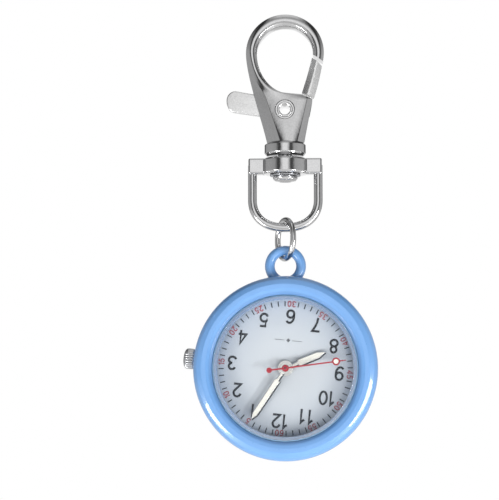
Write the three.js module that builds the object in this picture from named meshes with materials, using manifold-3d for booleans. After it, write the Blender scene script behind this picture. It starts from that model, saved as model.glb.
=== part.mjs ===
// Fob watch: a sprung swivel hook, a D-ring and a jump ring carry a small round quartz watch,
// whose dial is set with 12 at the bottom so that its wearer can read it from above.
//
// Millimetres, +Z up. The front of the dial faces -Y and the origin is at the inside of the top of
// the hook, where the hook hangs. Turned pieces of the watch have Y as their axis.

import * as THREE from 'three';
import { mergeVertices } from 'three/addons/utils/BufferGeometryUtils.js';
import Module from 'manifold-3d';

const wasm = await Module();
wasm.setup();

// ---------------------------------------------------------------------------
// Driving dimensions
// ---------------------------------------------------------------------------

const hook = {
  outerRadius: 6.4,
  outerCentreZ: -4.4,
  innerRadius: 4.6,
  innerCentreZ: -4.6,
  halfDepth: 1.6,
  bevel: 0.4,
  footZ: -19.3,
  footRadius: 3.05,
  footHalfDepth: 2.75,
  taperTopZ: -8,
  coneSlope: 0.42,
  collarRadius: 3.4,
  collarZ: -21.5,
  collarChamfer: 0.35,
};

const gate = { pivotZ: -13.95, rootHalfDepth: 0.6, armHalfDepth: 1.35, hubRadius: 1.9, slotHalfDepth: 0.7 };
const rivet = { bore: 0.875, barrel: 1.1, rim: 1.28, rimHeight: 0.25, recess: 1.65 };

const swivel = { shank: 1.2, headRadius: 2.05, headTopZ: -24.75, headZ: -25.65, washer: 2.5, top: -17.6 };

const dRing = {
  topZ: -21.85,
  barZ: -24.4,
  bossRadius: 3.8,
  barHalfWidth: 6.0,
  barHalfDepth: 1.25,
  wire: 0.725,
  legX: 5.375,
  legEndZ: -28.6,
  bottomZ: -33.145,
};

const jumpRing = { wire: 0.475, radius: 3.175, centreZ: -35.05, yaw: 25, cutAngle: 62, cutGap: 1.6 };

const caseDims = {
  centreZ: -56.0,
  radius: 14.84,
  rimY: 3.17,
  bore: 12.55,
  seatRadius: 11.0,
  loopZ: -39.44,
  loopHole: 1.74,
  loopRadial: 0.8,
  loopDepth: 1.05,
};

const crystalDims = { radius: 11.5, bevelRadius: 11.0, apexY: -4.3, edgeY: -3.9, innerY: -2.9, seatY: -2.5 };

// Levels along Y, front to back.
const level = {
  secondHand: [-2.46, -2.34],
  minuteHand: [-1.92, -1.76],
  hourHand: [-1.36, -1.2],
  dial: [-0.75, -0.35],
  washer: [-0.33, -0.26],
  hourWheel: [-0.22, -0.04],
  minuteWheel: [0.06, 0.26],
  plate: [-0.32, 0.75],
  motionPocket: 0.34,
  centreWheel: [0.85, 1.0],
  thirdWheel: [1.2, 1.35],
  secondsWheel: [1.6, 1.75],
  core: [1.32, 1.57],
  stator: [1.6, 1.85],
  lever: [1.86, 2.04],
  bridge: [2.12, 2.4],
  board: [2.15, 2.3],
  back: [2.95, 3.75],
};

// The dial is turned so that its 12 points down, a little to the wearer's left.
const dialTurn = THREE.MathUtils.degToRad(185.7);

// Rest time 8:04:43, as angles clockwise from the dial's 12.
const handAngle = { hour: 242.36, minute: 28.28, second: 256.8 };

// The crown and stem lie along the dial's 3 o'clock line, at this depth.
const stemY = 1.15;

// Where the arbors and screws stand, in the dial's own frame: [x towards 3, z towards 12].
const train = {
  third: polar(2.88, 55),
  fifth: polar(2.688, 165),
  rotor: polar(4.368, 165),
  minute: polar(2.4, -20),
  setting: [0, 0],
};
train.setting = [train.minute[0] + 2.8 * cosd(20), train.minute[1] + 2.8 * sind(20)];

const battery = { centre: polar(6.0, 235), radius: 3.4, from: 0.0, to: 2.6 };
const bridgeScrews = [[4.7, 4.3], [-7.3, 1.0], [1.9, -3.6]];
const coilScrews = [[-5.7, 6.4], [2.9, 6.4]];
const clipScrew = [-0.2, -8.9];
const dialFeet = [[5.8, 6.2], [2.5, -8.2]];
const leverPivot = [7.2, -2.4];
const yokePivot = [5.85, 2.4];
const movementRadius = 9.6;

const finish = {
  enamel: { color: 0x89bdec, roughness: 0.32, metalness: 0.3 },
  chrome: { color: 0xd6d9dc, roughness: 0.18, metalness: 1 },
  satinSteel: { color: 0xa9adb2, roughness: 0.38, metalness: 1 },
  springSteel: { color: 0x8e9298, roughness: 0.35, metalness: 1 },
  crystal: { color: 0xe8f1f5, roughness: 0.05, metalness: 0, transparent: true, opacity: 0.3 },
  dialWhite: { color: 0xdfe7ea, roughness: 0.5, metalness: 0 },
  handCream: { color: 0xf0eee2, roughness: 0.5, metalness: 0.1 },
  handRed: { color: 0xc43a3c, roughness: 0.45, metalness: 0.1 },
  brass: { color: 0xc9a552, roughness: 0.35, metalness: 1 },
  rubber: { color: 0x22242a, roughness: 0.8, metalness: 0 },
  nylon: { color: 0xdfe0da, roughness: 0.6, metalness: 0 },
  blackPlastic: { color: 0x2a2c30, roughness: 0.6, metalness: 0 },
  magnet: { color: 0x55585c, roughness: 0.5, metalness: 0.6 },
  softIron: { color: 0x9a9da0, roughness: 0.45, metalness: 1 },
  copper: { color: 0xb5623a, roughness: 0.45, metalness: 0.7 },
  boardGreen: { color: 0x2f6b46, roughness: 0.55, metalness: 0 },
};

// ---------------------------------------------------------------------------
// Helpers
// ---------------------------------------------------------------------------

function cosd(degrees) {
  return Math.cos(THREE.MathUtils.degToRad(degrees));
}

function sind(degrees) {
  return Math.sin(THREE.MathUtils.degToRad(degrees));
}

function polar(radius, degrees) {
  return [radius * cosd(degrees), radius * sind(degrees)];
}

// A manifold-3d solid of a closed geometry.
function solidOf(geometry) {
  const bare = geometry.clone();
  bare.deleteAttribute('normal');
  bare.deleteAttribute('uv');
  const merged = mergeVertices(bare, 1e-4);
  const index = merged.index.array;
  const triangles = [];
  for (let i = 0; i < index.length; i += 3) {
    const [a, b, c] = [index[i], index[i + 1], index[i + 2]];
    if (a !== b && b !== c && c !== a) triangles.push(a, b, c);
  }
  return new wasm.Manifold(new wasm.Mesh({
    numProp: 3,
    vertProperties: Float32Array.from(merged.attributes.position.array),
    triVerts: Uint32Array.from(triangles),
  }));
}

function geometryOf(solid) {
  const mesh = solid.getMesh();
  const geometry = new THREE.BufferGeometry();
  geometry.setAttribute('position', new THREE.BufferAttribute(mesh.vertProperties, 3));
  geometry.setIndex(new THREE.BufferAttribute(mesh.triVerts, 1));
  geometry.computeVertexNormals();
  return geometry;
}

function joined(...pieces) {
  return geometryOf(pieces.map(solidOf).reduce((a, b) => a.add(b)));
}

function cut(body, ...tools) {
  return geometryOf(tools.map(solidOf).reduce((a, b) => a.subtract(b), solidOf(body)));
}

function common(...pieces) {
  return geometryOf(pieces.map(solidOf).reduce((a, b) => a.intersect(b)));
}

// A turned piece about Y from an outline of [radius, y] points, which either starts and ends on
// the axis or is a closed ring.
function turned(outline, segments = 32) {
  const onAxis = outline[0][0] === 0 && outline[outline.length - 1][0] === 0;
  let area = 0;
  outline.forEach(([r, y], i) => {
    const [nextR, nextY] = outline[(i + 1) % outline.length];
    area += r * nextY - nextR * y;
  });
  const points = outline.map(([r, y]) => new THREE.Vector2(r, y));
  if (!onAxis) points.push(points[0].clone());
  if (area < 0) points.reverse();
  return new THREE.LatheGeometry(points, segments);
}

// A flat piece in the XZ plane, from y0 to y1.
function plate(shape, [y0, y1], curveSegments = 8) {
  const options = { depth: y1 - y0, bevelEnabled: false, curveSegments };
  return new THREE.ExtrudeGeometry(shape, options).rotateX(Math.PI / 2).translate(0, y1, 0);
}

function outlineShape(points) {
  return new THREE.Shape(points.map(([x, z]) => new THREE.Vector2(x, z)));
}

function disc(radius, [y0, y1], [x, z] = [0, 0], segments = 14) {
  return turned([[0, y0], [radius, y0], [radius, y1], [0, y1]], segments).translate(x, 0, z);
}

function ring(inner, outer, [y0, y1], segments = 24) {
  return turned([[inner, y0], [outer, y0], [outer, y1], [inner, y1]], segments);
}

function block([x0, x1], [y0, y1], [z0, z1]) {
  const box = new THREE.BoxGeometry(x1 - x0, y1 - y0, z1 - z0);
  return box.translate((x0 + x1) / 2, (y0 + y1) / 2, (z0 + z1) / 2);
}

// A flat bar with round ends, from a to b.
function strap(a, b, halfWidth, levels) {
  const angle = Math.atan2(b[1] - a[1], b[0] - a[0]);
  const shape = new THREE.Shape();
  shape.absarc(b[0], b[1], halfWidth, angle - Math.PI / 2, angle + Math.PI / 2, false);
  shape.absarc(a[0], a[1], halfWidth, angle + Math.PI / 2, angle + Math.PI * 1.5, false);
  return plate(shape, levels, 3);
}

// Gear teeth as a closed outline: plain pointed teeth, so that each pair runs with backlash.
// One tooth points in the direction `phase`, in degrees from X towards Z.
function gearShape(teeth, module, phase) {
  const radius = (teeth * module) / 2;
  const tip = radius + 0.8 * module;
  const root = radius - 1.2 * module;
  const pitch = 360 / teeth;
  const points = [];
  for (let i = 0; i < teeth; i += 1) {
    points.push(polar(tip, phase + i * pitch));
    points.push(polar(root, phase + (i + 0.5) * pitch));
  }
  return outlineShape(points);
}

function gear(teeth, module, levels, { phase = 0, bore = 0 } = {}) {
  const shape = gearShape(teeth, module, phase);
  if (bore > 0) {
    const hole = new THREE.Path();
    hole.absarc(0, 0, bore, 0, 2 * Math.PI, true);
    shape.holes.push(hole);
  }
  return plate(shape, levels, 6);
}

// The phase that puts a gap of a wheel where its partner has a tooth.
function gapFacing(direction, teeth) {
  return direction + 180 + 180 / teeth;
}

function pins(places, radius, levels, segments = 10) {
  return places.map((place) => disc(radius, levels, place, segments));
}

// A pan-head screw along Y, its head towards the back.
function screw([x, z], headY, tipY) {
  const head = 0.5;
  const shank = 0.24;
  const body = turned(
    [[0, tipY], [shank, tipY + 0.15], [shank, headY], [head, headY],
      [head, headY + 0.2], [0, headY + 0.2]],
    12,
  );
  const slot = block([-0.6, 0.6], [headY + 0.1, headY + 0.3], [-0.06, 0.06]);
  return cut(body, slot).rotateY(x + z).translate(x, 0, z);
}

const watchGroup = new THREE.Group();
watchGroup.position.z = caseDims.centreZ;
const dialGroup = new THREE.Group();
dialGroup.rotation.y = dialTurn;
watchGroup.add(dialGroup);
const group = new THREE.Group();
group.add(watchGroup);

function add(parent, name, geometry, look, place = [0, 0]) {
  const mesh = new THREE.Mesh(geometry, new THREE.MeshStandardMaterial(look));
  mesh.name = name;
  mesh.position.set(place[0], 0, place[1]);
  parent.add(mesh);
  return mesh;
}

// ---------------------------------------------------------------------------
// Swivel hook
// ---------------------------------------------------------------------------

const noseOuterAngle = THREE.MathUtils.degToRad(-13.6);
const noseInnerAngle = THREE.MathUtils.degToRad(-2);
const footHalfWidth = 2.95;
const trunkTop = { inner: [2.55, -11.35], outer: [4.5, -12.15] };

function hookOutline() {
  const shape = new THREE.Shape();
  shape.absarc(0, hook.outerCentreZ, hook.outerRadius, noseOuterAngle, Math.PI, false);
  shape.bezierCurveTo(-6.4, -8, -4.05, -14.6, -footHalfWidth, hook.footZ);
  shape.lineTo(footHalfWidth + 0.2, hook.footZ);
  shape.lineTo(trunkTop.outer[0], trunkTop.outer[1]);
  shape.lineTo(trunkTop.inner[0], trunkTop.inner[1]);
  shape.lineTo(0.65, -11.33);
  shape.bezierCurveTo(-2.6, -10.9, -hook.innerRadius, -7.6, -hook.innerRadius, hook.innerCentreZ);
  shape.absarc(0, hook.innerCentreZ, hook.innerRadius, Math.PI, noseInnerAngle, true);
  return shape;
}

function hookBody() {
  const flat = new THREE.ExtrudeGeometry(hookOutline(), {
    depth: 2 * (hook.halfDepth - hook.bevel),
    bevelThickness: hook.bevel,
    bevelSize: hook.bevel,
    bevelOffset: -hook.bevel,
    bevelSegments: 1,
    curveSegments: 12,
  }).rotateX(Math.PI / 2).translate(0, hook.halfDepth - hook.bevel, 0);

  // The trunk deepens downwards and is rounded into the foot by a cone about Z.
  const deep = plate(hookOutline(), [-hook.footRadius, hook.footRadius], 10);
  const side = outlineShape([
    [-hook.halfDepth, hook.taperTopZ], [-hook.footHalfDepth, hook.footZ],
    [hook.footHalfDepth, hook.footZ], [hook.halfDepth, hook.taperTopZ],
  ]);
  const wedge = new THREE.ExtrudeGeometry(side, { depth: 16, bevelEnabled: false })
    .rotateX(Math.PI / 2).translate(0, 8, 0).rotateZ(Math.PI / 2);
  const height = hook.taperTopZ - hook.footZ;
  const cone = turned([
    [0, hook.footZ], [hook.footRadius, hook.footZ],
    [hook.footRadius + hook.coneSlope * height, hook.taperTopZ], [0, hook.taperTopZ],
  ], 32).rotateX(Math.PI / 2);
  const trunk = common(deep, wedge, cone);

  const c = hook.collarChamfer;
  const collar = turned([
    [0, hook.footZ + 0.1], [hook.collarRadius - c, hook.footZ + 0.1], [hook.collarRadius, hook.footZ - c],
    [hook.collarRadius, hook.collarZ + c], [hook.collarRadius - c, hook.collarZ], [0, hook.collarZ],
  ], 36).rotateX(Math.PI / 2);

  const slot = plate(outlineShape([
    [-8, -9.6], [-8, -18.4], [-4.2, -17.6], [-1.6, -16.2], [3.2, -16.2], [6, -11.6], [6, -10.6], [-1, -10.6],
  ]), [-gate.slotHalfDepth, gate.slotHalfDepth]);
  const bore = disc(rivet.barrel + 0.04, [-4, 4], [0, gate.pivotZ], 20);
  const recesses = [-1, 1].map((side) => disc(rivet.recess, [side * 1.86, side * 4].sort((a, b) => a - b),
    [0, gate.pivotZ], 24));
  const postBore = turned([
    [0, swivel.top + 0.05], [swivel.shank + 0.04, swivel.top + 0.05],
    [swivel.shank + 0.04, hook.collarZ - 1], [0, hook.collarZ - 1],
  ], 20).rotateX(Math.PI / 2);
  return cut(joined(flat, trunk, collar), slot, bore, ...recesses, postBore);
}

function gateLever() {
  // The arm closes the hook and stands on a thin root, which turns in the trunk's slot.
  const armShape = outlineShape([
    [2.75, -11.02], [4.72, -11.86], [5.55, -8.9], [6.05, -6.55], [4.45, -5.15], [3.75, -8.1],
  ]);
  const bevel = 0.45;
  const arm = new THREE.ExtrudeGeometry(armShape, {
    depth: 2 * (gate.armHalfDepth - bevel),
    bevelThickness: bevel,
    bevelSize: bevel,
    bevelOffset: -bevel,
    bevelSegments: 1,
  }).rotateX(Math.PI / 2).translate(0, gate.armHalfDepth - bevel, 0);
  const thin = [-gate.rootHalfDepth, gate.rootHalfDepth];
  const root = plate(outlineShape([
    [-0.5, -12.1], [2.2, -12.4], [3.1, -10.6], [4.4, -11.4], [3.6, -12.6], [1.2, -15.4], [-0.6, -15.6],
  ]), thin);
  const hub = disc(gate.hubRadius, thin, [0, gate.pivotZ], 24);
  const tab = new THREE.Shape();
  tab.moveTo(-0.5, -12.1);
  tab.lineTo(-8.2, -10.55);
  tab.bezierCurveTo(-9.3, -10.7, -9.75, -11.6, -9.6, -12.6);
  tab.bezierCurveTo(-9.4, -13.7, -8.8, -14.1, -8.1, -14.15);
  tab.lineTo(-4.0, -14.8);
  tab.lineTo(-0.6, -15.6);
  const bore = disc(rivet.barrel + 0.05, [-2, 2], [0, gate.pivotZ], 20);
  return cut(joined(arm, root, hub, plate(tab, thin, 5)), bore);
}

function gateSpring() {
  // A strip of spring steel under the gate's hub, bent up behind its root.
  const outer = gate.hubRadius + 0.34;
  const inner = gate.hubRadius + 0.2;
  const shape = new THREE.Shape();
  shape.absarc(0, gate.pivotZ, outer, -1.35, -0.75, false);
  shape.absarc(0, gate.pivotZ, inner, -0.75, -1.35, true);
  return plate(shape, [-0.5, 0.5], 6);
}

function gateRivet() {
  const face = 1.92;
  const rim = face + rivet.rimHeight;
  return turned([
    [rivet.bore, -rim], [rivet.rim - 0.1, -rim], [rivet.rim, -rim + 0.1], [rivet.rim, -face],
    [rivet.barrel, -face], [rivet.barrel, face], [rivet.rim, face],
    [rivet.rim, rim - 0.1], [rivet.rim - 0.1, rim], [rivet.bore, rim],
  ], 20);
}

function swivelPost() {
  const { shank, headRadius, headTopZ, headZ, top } = swivel;
  return turned([
    [0, top], [shank - 0.2, top], [shank, top - 0.2], [shank, headTopZ], [headRadius, headTopZ],
    [headRadius, headTopZ - 0.35], [headRadius - 0.35, headZ + 0.1], [headRadius - 1, headZ], [0, headZ],
  ], 20).rotateX(Math.PI / 2);
}

function swivelWasher() {
  const { shank, washer } = swivel;
  return ring(shank + 0.06, washer, [-24.7, -24.45], 28).rotateX(Math.PI / 2);
}

add(group, 'hook_body', hookBody(), finish.chrome);
add(group, 'gate_lever', gateLever(), finish.satinSteel);
add(group, 'gate_spring', gateSpring(), finish.springSteel);
add(group, 'gate_rivet', gateRivet(), finish.chrome, [0, gate.pivotZ]);
add(group, 'swivel_post', swivelPost(), finish.chrome);
add(group, 'swivel_washer', swivelWasher(), finish.springSteel);

// ---------------------------------------------------------------------------
// D-ring and jump ring
// ---------------------------------------------------------------------------

function circle(radius, sides) {
  const points = [];
  for (let i = 0; i < sides; i += 1) points.push(polar(radius, (i * 360) / sides));
  return outlineShape(points);
}

function dRingBody() {
  const { legX, legEndZ, bottomZ, barZ, topZ, wire } = dRing;
  const at = (x, z) => new THREE.Vector3(x, 0, z);
  const path = new THREE.CurvePath();
  path.add(new THREE.LineCurve3(at(legX, barZ + 1), at(legX, legEndZ)));
  path.add(new THREE.CubicBezierCurve3(
    at(legX, legEndZ), at(legX, legEndZ - 3), at(3.2, bottomZ), at(0, bottomZ),
  ));
  path.add(new THREE.CubicBezierCurve3(
    at(0, bottomZ), at(-3.2, bottomZ), at(-legX, legEndZ - 3), at(-legX, legEndZ),
  ));
  path.add(new THREE.LineCurve3(at(-legX, legEndZ), at(-legX, barZ + 1)));
  const bow = new THREE.ExtrudeGeometry(circle(wire, 10), { steps: 34, extrudePath: path });
  const bar = new THREE.ExtrudeGeometry(outlineShape([
    [-dRing.barHalfWidth, barZ + 0.3], [-dRing.barHalfWidth + 0.3, barZ],
    [dRing.barHalfWidth - 0.3, barZ], [dRing.barHalfWidth, barZ + 0.3],
    [dRing.barHalfWidth, topZ - 0.3], [dRing.barHalfWidth - 0.3, topZ],
    [-dRing.barHalfWidth + 0.3, topZ], [-dRing.barHalfWidth, topZ - 0.3],
  ]), { depth: 2 * dRing.barHalfDepth - 0.8, bevelThickness: 0.4, bevelSize: 0.3, bevelOffset: -0.3,
    bevelSegments: 1 }).rotateX(Math.PI / 2).translate(0, dRing.barHalfDepth - 0.4, 0);
  const r = dRing.bossRadius;
  const boss = turned([
    [0, barZ], [r - 0.35, barZ], [r, barZ + 0.35], [r, topZ - 0.35], [r - 0.35, topZ], [0, topZ],
  ], 32).rotateX(Math.PI / 2);
  const bore = turned([
    [0, barZ - 1], [swivel.shank + 0.06, barZ - 1], [swivel.shank + 0.06, topZ + 1], [0, topZ + 1],
  ], 20).rotateX(Math.PI / 2);
  return cut(joined(bow, bar, boss), bore);
}

class RingCurve extends THREE.Curve {
  getPoint(t, target = new THREE.Vector3()) {
    const { radius, yaw, cutAngle, cutGap } = jumpRing;
    const angle = cutAngle + cutGap / 2 + t * (360 - cutGap);
    const across = radius * cosd(angle);
    return target.set(across * sind(yaw), -across * cosd(yaw), radius * sind(angle));
  }
}

function jumpRingBody() {
  return new THREE.ExtrudeGeometry(circle(jumpRing.wire, 10), { steps: 36, extrudePath: new RingCurve() });
}

add(group, 'd_ring', dRingBody(), finish.chrome);
add(group, 'jump_ring', jumpRingBody(), finish.chrome, [0, jumpRing.centreZ]);

// ---------------------------------------------------------------------------
// Case, crystal and back
// ---------------------------------------------------------------------------

// The crown's tube and stem lie along the dial's 3 o'clock line. Pieces turned about Y are laid
// on that line by this turn, so that an outline's y becomes the distance from the watch's centre.
function alongStem(geometry) {
  return geometry.rotateZ(-Math.PI / 2).translate(0, stemY, 0);
}

function caseBody() {
  const { radius, bore, seatRadius, rimY } = caseDims;
  const wall = turned([
    [12.1, -3.75], [12.7, -3.9], [13.4, -3.95], [14.0, -3.78], [14.45, -3.4], [14.75, -2.85], [radius, -2.2],
    [radius, 2.0], [14.74, 2.55], [14.5, 2.95], [14.15, rimY],
    [13.15, rimY], [13.15, 2.9], [12.72, 2.9], [12.72, rimY], [bore, rimY], [bore, -0.78],
    [seatRadius, -0.78], [seatRadius, -2.45], [11.72, -2.45], [11.72, -3.42],
  ], 40);
  const loop = [];
  for (let i = 0; i < 10; i += 1) {
    const [across, along] = polar(1, (i * 360) / 10);
    loop.push([
      caseDims.loopHole + caseDims.loopRadial * (1 + across), caseDims.loopDepth * along,
    ]);
  }
  const loopTurned = turned(loop, 24).translate(0, 0, caseDims.loopZ - caseDims.centreZ);
  const inside = disc(bore + 0.5, [-5, 5], [0, 0], 40);
  const tubeHole = alongStem(disc(0.78, [11, 16])).rotateY(dialTurn);
  return cut(joined(wall, cut(loopTurned, inside)), tubeHole);
}

function crystalBody() {
  const { radius, bevelRadius, apexY, edgeY, innerY, seatY } = crystalDims;
  return turned([
    [0, apexY], [4, apexY + 0.05], [8, apexY + 0.2], [bevelRadius, edgeY], [radius, edgeY + 0.35],
    [radius, seatY], [bevelRadius - 0.4, seatY], [bevelRadius - 0.4, innerY], [0, innerY],
  ], 36);
}

function caseBackBody() {
  const [inner, outer] = level.back;
  const { bore, rimY } = caseDims;
  return turned([
    [0, inner], [bore - 0.8, inner], [bore - 0.6, inner + 0.1], [bore - 0.06, inner + 0.1],
    [bore - 0.06, rimY + 0.03], [13.4, rimY + 0.03],
    [13.4, outer - 0.25], [13.1, outer], [0, outer],
  ], 40);
}

add(watchGroup, 'case_body', caseBody(), finish.enamel);
add(watchGroup, 'crystal', crystalBody(), finish.crystal);
add(watchGroup, 'crystal_gasket', ring(11.53, 11.68, [-3.4, -2.5], 40), finish.nylon);
add(watchGroup, 'case_back', caseBackBody(), finish.satinSteel);
add(watchGroup, 'back_gasket', ring(12.78, 13.08, [2.93, 3.17], 40), finish.rubber);

// ---------------------------------------------------------------------------
// Crown and setting work
// ---------------------------------------------------------------------------

function crownBody() {
  const inner = 14.97;
  const outer = 16.75;
  const radius = 1.65;
  const flutes = 24;
  const shape = outlineShape(Array.from({ length: flutes * 2 }, (_, i) => (
    polar(i % 2 ? radius : radius - 0.12, (i * 180) / flutes)
  )));
  const knurl = plate(shape, [inner, outer]);
  const form = turned([
    [0, inner], [radius - 0.12, inner], [radius + 0.05, inner + 0.2], [radius + 0.05, outer - 0.5],
    [radius - 0.3, outer - 0.12], [0.9, outer], [0, outer],
  ], 24);
  const socket = turned([[0, inner - 1], [1.2, inner - 1], [1.2, 15.95], [0, 15.95]], 20);
  const thread = disc(0.34, [15.5, 16.35], [0, 0], 14);
  return alongStem(cut(common(knurl, form), socket, thread));
}

function stemBody() {
  return alongStem(turned([
    [0, 4.3], [0.3, 4.3], [0.3, 6.6], [0.42, 6.6], [0.42, 6.95], [0.25, 6.95], [0.25, 7.45],
    [0.42, 7.45], [0.42, 15.9], [0.31, 15.9], [0.31, 16.3], [0, 16.3],
  ], 16));
}

function clutchBody() {
  const bore = 0.33;
  const teeth = cut(plate(gearShape(10, 0.11, 0), [5.3, 5.6]), disc(bore, [5, 6]));
  const sleeve = turned([
    [bore, 5.55], [0.45, 5.55], [0.45, 6.1], [0.6, 6.1], [0.6, 6.4], [bore, 6.4],
  ], 20);
  return alongStem(joined(teeth, sleeve));
}

// A flat lever whose pin stands in the plate and whose peg rides in a groove.
function pegLever(pivot, pegX) {
  const arm = strap(pivot, [pegX, 0], 0.42, level.lever);
  const pin = disc(0.26, [0.45, 1.95], pivot, 12);
  const peg = disc(0.12, [1.5, 1.95], [pegX, 0], 10);
  return joined(arm, pin, peg);
}

add(dialGroup, 'stem_tube', alongStem(ring(0.5, 0.75, [12.7, 15.4], 20)), finish.brass);
add(dialGroup, 'crown', crownBody(), finish.satinSteel);
add(dialGroup, 'crown_gasket', alongStem(ring(0.79, 1.17, [15.0, 15.35], 20)), finish.rubber);
add(dialGroup, 'stem', stemBody(), finish.springSteel);
add(dialGroup, 'clutch_wheel', clutchBody(), finish.springSteel);
add(dialGroup, 'setting_lever', pegLever(leverPivot, 7.2), finish.springSteel);
add(dialGroup, 'yoke', pegLever(yokePivot, 5.85), finish.springSteel);

// ---------------------------------------------------------------------------
// Dial and hands
// ---------------------------------------------------------------------------

function dialBody() {
  const face = ring(0.9, 12.4, level.dial, 36);
  return joined(face, ...pins(dialFeet, 0.3, [-0.5, 0.3]));
}

// A baton hand: a round hub, a neck, a step and a pointed blade. It points to 12.
function handBody({ length, width, hub, bore, neckWidth, neckEnd, stepEnd, tail }, levels) {
  const half = width / 2;
  const neck = neckWidth / 2;
  const blade = plate(outlineShape([
    [-neck, -tail], [neck, -tail], [neck, neckEnd], [half, stepEnd],
    [half * 0.92, length - 2.1 * width], [0, length], [-half * 0.92, length - 2.1 * width],
    [-half, stepEnd], [-neck, neckEnd],
  ]), levels);
  return cut(joined(blade, disc(hub, levels, [0, 0], 18)), disc(bore, [-5, 5], [0, 0], 14));
}

const hourHand = {
  length: 7.1, width: 0.97, hub: 1.25, bore: 0.72, neckWidth: 0.5, neckEnd: 1.9, stepEnd: 2.3, tail: 1.5,
};
const minuteHand = {
  length: 10.0, width: 0.8, hub: 0.95, bore: 0.42, neckWidth: 0.42, neckEnd: 1.9, stepEnd: 2.3, tail: 1.6,
};

function secondHandBody() {
  const levels = level.secondHand;
  const needle = plate(outlineShape([[-0.11, -3.0], [0.11, -3.0], [0.05, 9.9], [-0.05, 9.9]]), levels);
  const eye = disc(0.64, levels, [0, 8.2], 20);
  const counterweight = disc(0.45, levels, [0, -2.6], 18);
  const hub = disc(0.55, [-2.62, -2.2], [0, 0], 20);
  return cut(joined(needle, eye, counterweight, hub), disc(0.36, [-3, -2], [0, 8.2], 16),
    disc(0.14, [-2.5, -2], [0, 0], 12));
}

function turnedTo(geometry, degrees) {
  return geometry.rotateY(THREE.MathUtils.degToRad(degrees));
}

add(dialGroup, 'dial', dialBody(), finish.dialWhite);
add(dialGroup, 'dial_washer', ring(0.78, 1.5, level.washer, 28), finish.brass);
add(dialGroup, 'hour_hand', turnedTo(handBody(hourHand, level.hourHand), handAngle.hour), finish.handCream);
add(dialGroup, 'minute_hand', turnedTo(handBody(minuteHand, level.minuteHand), handAngle.minute),
  finish.handCream);
add(dialGroup, 'second_hand', turnedTo(secondHandBody(), handAngle.second), finish.handRed);

// ---------------------------------------------------------------------------
// Movement: plates
// ---------------------------------------------------------------------------

function mainPlate() {
  const [front, back] = level.plate;
  const pocket = [front - 0.1, level.motionPocket];
  const base = disc(movementRadius, level.plate, [0, 0], 40);
  const posts = [
    ...pins(coilScrews, 0.6, [back - 0.1, 1.29], 14),
    ...pins([clipScrew], 0.55, [back - 0.1, 2.6], 14),
  ];
  return cut(
    joined(base, ...posts),
    disc(battery.radius + 0.08, [-0.12, 5], battery.centre, 28),
    disc(2.12, pocket, [0, 0], 28),
    disc(2.0, pocket, train.minute, 28),
    disc(1.2, pocket, train.setting, 24),
    block([4.5, 6.9], [0.28, 2], [-0.95, 0.95]),
    block([6.8, 10], [0.68, 2], [-0.5, 0.5]),
    disc(0.46, [-1, 2], [0, 0], 16),
    ...pins(coilScrews, 0.27, [0.85, 3]),
    ...pins([clipScrew], 0.27, [1.6, 3]),
    ...pins(bridgeScrews, 0.27, [0.3, 3]),
    ...pins(dialFeet, 0.33, [-1, 0.36]),
    ...pins([leverPivot, yokePivot], 0.29, [0.38, 3]),
    ...pins([train.third, train.fifth, train.rotor], 0.13, [0.5, 3]),
    ...pins([train.minute, train.setting], 0.13, [-1, 0.6]),
  );
}

function trainBridge() {
  const outline = outlineShape([
    [5.5, 4.2], [4.2, 5.1], [-1, 4.3], [-5.5, 2.8], [-8.1, 1.6], [-7.9, 0.1], [-5, -0.5], [-2.2, -0.9],
    [0.7, -2.2], [1.0, -4.2], [2.7, -4.3], [3.0, -2.4], [4.0, 0.6], [5.3, 3.3],
  ]);
  const pillars = pins(bridgeScrews, 0.7, [level.plate[1] + 0.03, level.bridge[0] + 0.1], 12);
  return cut(
    joined(plate(outline, level.bridge), ...pillars),
    ...pins(bridgeScrews, 0.28, [0, 4]),
    ...pins([[0, 0], train.third, train.fifth, train.rotor], 0.13, [2, 4]),
  );
}

function movementRing() {
  const body = ring(movementRadius + 0.06, caseDims.bore - 0.1, [-0.32, 2.9], 36);
  return cut(body, alongStem(disc(0.8, [8, 14], [0, 0], 20)));
}

add(dialGroup, 'movement_ring', movementRing(), finish.nylon);
add(dialGroup, 'main_plate', mainPlate(), finish.blackPlastic);
add(dialGroup, 'train_bridge', trainBridge(), finish.blackPlastic);
bridgeScrews.forEach((place, i) => {
  add(dialGroup, `bridge_screw_${i + 1}`, screw(place, level.bridge[1] + 0.02, 0.4), finish.springSteel);
});

// ---------------------------------------------------------------------------
// Movement: step motor, circuit and battery
// ---------------------------------------------------------------------------

function rotorBody() {
  return joined(
    disc(0.09, [0.58, 2.3], [0, 0], 12),
    gear(6, 0.08, [1.15, 1.42], { phase: 165 }),
    disc(0.62, [1.5, 1.95], [0, 0], 20),
  );
}

function statorBody() {
  const [left, right] = coilScrews;
  const limb = 0.5;
  const elbows = [[-3.6, 4.6], [2.4, 4.85]];
  return cut(
    joined(
      disc(1.1, level.stator, train.rotor, 18),
      strap(train.rotor, left, limb, level.stator),
      strap(train.rotor, elbows[0], limb, level.stator),
      strap(elbows[0], elbows[1], limb, level.stator),
      strap(elbows[1], right, limb, level.stator),
      ...pins(coilScrews, 0.65, level.stator, 12),
    ),
    disc(0.75, [1, 3], train.rotor, 16),
    ...pins(coilScrews, 0.28, [1, 3]),
  );
}

function coreBody() {
  const [left, right] = coilScrews;
  const bar = strap(left, right, 0.3, level.core);
  return cut(joined(bar, ...pins(coilScrews, 0.65, level.core, 12)), ...pins(coilScrews, 0.28, [1, 3]));
}

function windingBody() {
  const outer = disc(0.66, [-4.4, 1.6], [0, 0], 20).rotateZ(-Math.PI / 2);
  const tunnel = block([-5, 2], [-0.16, 0.16], [-0.34, 0.34]);
  return cut(outer, tunnel).translate(0, (level.core[0] + level.core[1]) / 2, coilScrews[0][1]);
}

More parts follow.
